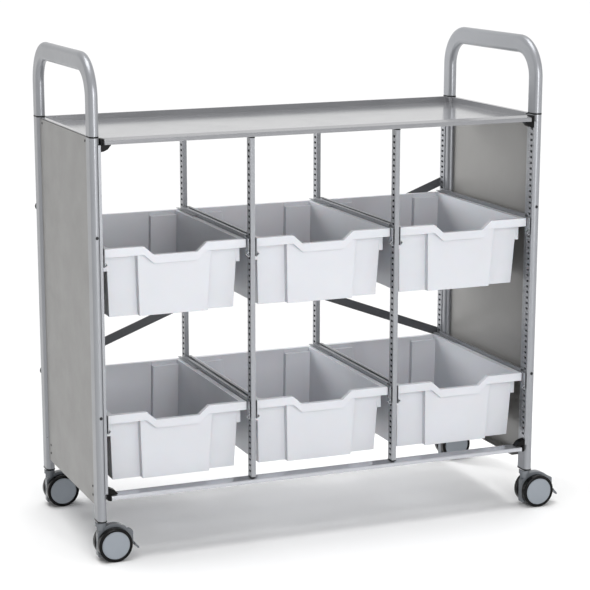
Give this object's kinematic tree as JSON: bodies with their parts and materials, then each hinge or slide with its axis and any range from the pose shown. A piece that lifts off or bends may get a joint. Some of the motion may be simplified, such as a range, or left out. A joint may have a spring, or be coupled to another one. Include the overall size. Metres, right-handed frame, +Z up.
{
  "type": "book cart",
  "caption": "Silver tube-frame book cart with looped end handles, a shallow top shelf, slotted uprights, pull-out white trays and twin-wheel swivel casters.",
  "frame": {"origin": "centre of the whole box on the floor, between the casters' lowest points", "axes": "+X along the open front to the right-hand end, +Y from the open front to the braced rear, +Z up"},
  "size_m": [1.1086, 0.456, 1.072],
  "materials": {
    "silver_paint": "satin silver-grey powder coat",
    "panel_paint": "satin grey powder coat",
    "dark_paint": "satin dark grey powder coat",
    "runner_steel": "satin grey coated steel",
    "black_plastic": "moulded black nylon",
    "black_screw": "blackened steel",
    "zinc": "bright zinc plate",
    "tray_plastic": "moulded white polypropylene",
    "caster_plastic": "moulded grey nylon",
    "hub_plastic": "moulded blue-grey nylon",
    "tyre_rubber": "smooth black rubber"
  },
  "bodies": {
    "frame": {"post_front_left": "silver_paint", "post_front_right": "silver_paint", "post_rear_left": "silver_paint", "post_rear_right": "silver_paint", "handle_left": "silver_paint", "handle_right": "silver_paint", "handle_joiners": "black_plastic", "post_plugs": "black_plastic", "end_panel_left": "panel_paint", "end_panel_right": "panel_paint", "top_shelf": "silver_paint", "base_rail_front": "silver_paint", "base_rail_rear": "silver_paint", "corner_brackets": "black_plastic", "corner_strips": "silver_paint", "upright_front_left": "silver_paint", "upright_front_right": "silver_paint", "upright_rear_left": "silver_paint", "upright_rear_right": "silver_paint", "upright_caps": "black_plastic", "brace_rising": "dark_paint", "brace_falling": "dark_paint", "frame_screws": "black_screw", "runners_left": "runner_steel", "runners_centre": "runner_steel", "runners_right": "runner_steel", "caster_stems": "zinc"},
    "tray_upper_left": {"tray_upper_left": "tray_plastic"},
    "tray_upper_centre": {"tray_upper_centre": "tray_plastic"},
    "tray_upper_right": {"tray_upper_right": "tray_plastic"},
    "tray_lower_left": {"tray_lower_left": "tray_plastic"},
    "tray_lower_centre": {"tray_lower_centre": "tray_plastic"},
    "tray_lower_right": {"tray_lower_right": "tray_plastic"},
    "caster_front_left": {"caster_front_left_housing": "caster_plastic", "caster_front_left_axle": "zinc"},
    "wheel_front_left_front": {"caster_front_left_tyre_front": "tyre_rubber", "caster_front_left_hub_front": "hub_plastic"},
    "wheel_front_left_rear": {"caster_front_left_tyre_rear": "tyre_rubber", "caster_front_left_hub_rear": "hub_plastic"},
    "pedal_front_left": {"caster_front_left_pedal": "caster_plastic"},
    "caster_front_right": {"caster_front_right_housing": "caster_plastic", "caster_front_right_axle": "zinc"},
    "wheel_front_right_front": {"caster_front_right_tyre_front": "tyre_rubber", "caster_front_right_hub_front": "hub_plastic"},
    "wheel_front_right_rear": {"caster_front_right_tyre_rear": "tyre_rubber", "caster_front_right_hub_rear": "hub_plastic"},
    "pedal_front_right": {"caster_front_right_pedal": "caster_plastic"},
    "caster_rear_left": {"caster_rear_left_housing": "caster_plastic", "caster_rear_left_axle": "zinc"},
    "wheel_rear_left_front": {"caster_rear_left_tyre_front": "tyre_rubber", "caster_rear_left_hub_front": "hub_plastic"},
    "wheel_rear_left_rear": {"caster_rear_left_tyre_rear": "tyre_rubber", "caster_rear_left_hub_rear": "hub_plastic"},
    "caster_rear_right": {"caster_rear_right_housing": "caster_plastic", "caster_rear_right_axle": "zinc"},
    "wheel_rear_right_front": {"caster_rear_right_tyre_front": "tyre_rubber", "caster_rear_right_hub_front": "hub_plastic"},
    "wheel_rear_right_rear": {"caster_rear_right_tyre_rear": "tyre_rubber", "caster_rear_right_hub_rear": "hub_plastic"}
  },
  "joints": [
    {"name": "slide_upper_left", "type": "slide", "parent": "frame", "child": "tray_upper_left", "axis": [0, -1, 0], "range_m": [0, 0.4]},
    {"name": "slide_upper_centre", "type": "slide", "parent": "frame", "child": "tray_upper_centre", "axis": [0, -1, 0], "range_m": [0, 0.4]},
    {"name": "slide_upper_right", "type": "slide", "parent": "frame", "child": "tray_upper_right", "axis": [0, -1, 0], "range_m": [0, 0.4]},
    {"name": "slide_lower_left", "type": "slide", "parent": "frame", "child": "tray_lower_left", "axis": [0, -1, 0], "range_m": [0, 0.4]},
    {"name": "slide_lower_centre", "type": "slide", "parent": "frame", "child": "tray_lower_centre", "axis": [0, -1, 0], "range_m": [0, 0.4]},
    {"name": "slide_lower_right", "type": "slide", "parent": "frame", "child": "tray_lower_right", "axis": [0, -1, 0], "range_m": [0, 0.4]},
    {"name": "swivel_front_left", "type": "hinge", "parent": "frame", "child": "caster_front_left", "pos_m": [-0.54225, -0.203, 0.08], "axis": [0, 0, 1], "continuous": true},
    {"name": "spin_front_left_front", "type": "hinge", "parent": "caster_front_left", "child": "wheel_front_left_front", "pos_m": [-0.51625, -0.203, 0.0375], "axis": [0, 1, 0], "continuous": true},
    {"name": "spin_front_left_rear", "type": "hinge", "parent": "caster_front_left", "child": "wheel_front_left_rear", "pos_m": [-0.51625, -0.203, 0.0375], "axis": [0, 1, 0], "continuous": true},
    {"name": "brake_front_left", "type": "hinge", "parent": "caster_front_left", "child": "pedal_front_left", "pos_m": [-0.48325, -0.203, 0.0565], "axis": [0, 1, 0], "range_deg": [0, 12]},
    {"name": "swivel_front_right", "type": "hinge", "parent": "frame", "child": "caster_front_right", "pos_m": [0.47325, -0.203, 0.08], "axis": [0, 0, 1], "continuous": true},
    {"name": "spin_front_right_front", "type": "hinge", "parent": "caster_front_right", "child": "wheel_front_right_front", "pos_m": [0.49925, -0.203, 0.0375], "axis": [0, 1, 0], "continuous": true},
    {"name": "spin_front_right_rear", "type": "hinge", "parent": "caster_front_right", "child": "wheel_front_right_rear", "pos_m": [0.49925, -0.203, 0.0375], "axis": [0, 1, 0], "continuous": true},
    {"name": "brake_front_right", "type": "hinge", "parent": "caster_front_right", "child": "pedal_front_right", "pos_m": [0.53225, -0.203, 0.0565], "axis": [0, 1, 0], "range_deg": [0, 12]},
    {"name": "swivel_rear_left", "type": "hinge", "parent": "frame", "child": "caster_rear_left", "pos_m": [-0.54225, 0.203, 0.08], "axis": [0, 0, 1], "continuous": true},
    {"name": "spin_rear_left_front", "type": "hinge", "parent": "caster_rear_left", "child": "wheel_rear_left_front", "pos_m": [-0.51625, 0.203, 0.0375], "axis": [0, 1, 0], "continuous": true},
    {"name": "spin_rear_left_rear", "type": "hinge", "parent": "caster_rear_left", "child": "wheel_rear_left_rear", "pos_m": [-0.51625, 0.203, 0.0375], "axis": [0, 1, 0], "continuous": true},
    {"name": "swivel_rear_right", "type": "hinge", "parent": "frame", "child": "caster_rear_right", "pos_m": [0.47325, 0.203, 0.08], "axis": [0, 0, 1], "continuous": true},
    {"name": "spin_rear_right_front", "type": "hinge", "parent": "caster_rear_right", "child": "wheel_rear_right_front", "pos_m": [0.49925, 0.203, 0.0375], "axis": [0, 1, 0], "continuous": true},
    {"name": "spin_rear_right_rear", "type": "hinge", "parent": "caster_rear_right", "child": "wheel_rear_right_rear", "pos_m": [0.49925, 0.203, 0.0375], "axis": [0, 1, 0], "continuous": true}
  ]
}
